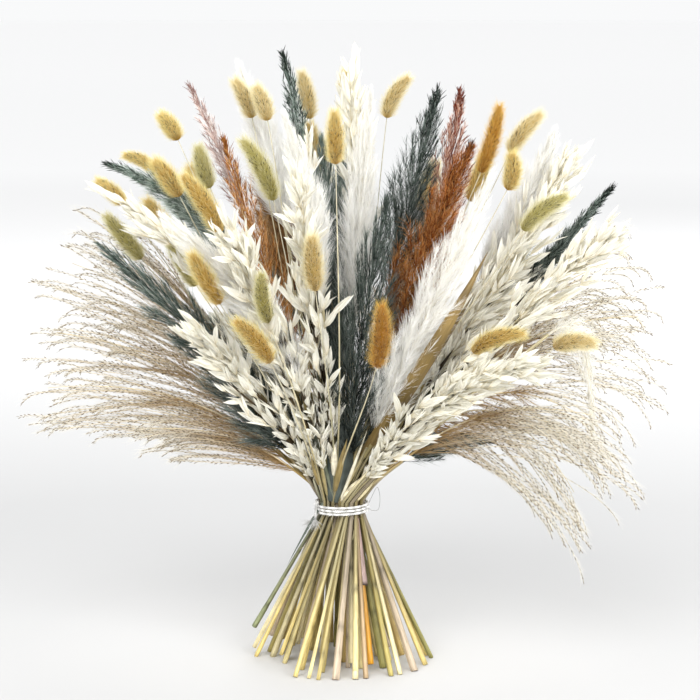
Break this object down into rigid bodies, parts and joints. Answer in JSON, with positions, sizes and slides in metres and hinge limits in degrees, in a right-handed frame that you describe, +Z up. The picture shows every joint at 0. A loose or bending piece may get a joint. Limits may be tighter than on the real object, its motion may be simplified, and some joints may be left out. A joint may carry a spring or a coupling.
{
  "type": "bundle of pampas grass",
  "caption": "Tied bundle of dried pampas plumes, bunny-tail grass, bleached oats and silver reed, fanned above a string and standing on its splayed cut stems.",
  "frame": {"origin": "on the floor, under the middle of the bundle's box", "axes": "+Z up along the bundle, +X to the right across its fan, +Y away from the viewer"},
  "size_m": [0.4672, 0.3302, 0.437],
  "materials": {
    "slate_plume": "dyed slate blue, soft and silky",
    "rust_plume": "dyed rust brown, soft and silky",
    "rose_plume": "dyed dusty rose, soft and silky",
    "ivory_plume": "bleached ivory, soft and silky",
    "bunny_tail": "dried golden, woolly with fine awns",
    "oats": "bleached, papery and dull",
    "reed": "dried beige, dull",
    "string": "white twisted string"
  },
  "bodies": {
    "root": {"bunny_tails_1": "bunny_tail", "bunny_tails_10": "bunny_tail", "bunny_tails_11": "bunny_tail", "bunny_tails_12": "bunny_tail", "bunny_tails_13": "bunny_tail", "bunny_tails_14": "bunny_tail", "bunny_tails_2": "bunny_tail", "bunny_tails_3": "bunny_tail", "bunny_tails_4": "bunny_tail", "bunny_tails_5": "bunny_tail", "bunny_tails_6": "bunny_tail", "bunny_tails_7": "bunny_tail", "bunny_tails_8": "bunny_tail", "bunny_tails_9": "bunny_tail", "oats_1": "oats", "oats_10": "oats", "oats_11": "oats", "oats_12": "oats", "oats_13": "oats", "oats_2": "oats", "oats_3": "oats", "oats_4": "oats", "oats_5": "oats", "oats_6": "oats", "oats_7": "oats", "oats_8": "oats", "oats_9": "oats", "plume_ivory_1": "ivory_plume", "plume_ivory_2": "ivory_plume", "plume_ivory_3": "ivory_plume", "plume_ivory_4": "ivory_plume", "plume_ivory_5": "ivory_plume", "plume_ivory_6": "ivory_plume", "plume_ivory_7": "ivory_plume", "plume_ivory_8": "ivory_plume", "plume_ivory_9": "ivory_plume", "plume_rose_1": "rose_plume", "plume_rust_1": "rust_plume", "plume_rust_2": "rust_plume", "plume_rust_3": "rust_plume", "plume_rust_4": "rust_plume", "plume_slate_1": "slate_plume", "plume_slate_10": "slate_plume", "plume_slate_11": "slate_plume", "plume_slate_12": "slate_plume", "plume_slate_2": "slate_plume", "plume_slate_3": "slate_plume", "plume_slate_4": "slate_plume", "plume_slate_5": "slate_plume", "plume_slate_6": "slate_plume", "plume_slate_7": "slate_plume", "plume_slate_8": "slate_plume", "plume_slate_9": "slate_plume", "reed_1": "reed", "reed_2": "reed", "reed_3": "reed", "reed_4": "reed", "reed_5": "reed", "reed_6": "reed", "tie_string": "string"}
  },
  "joints": []
}
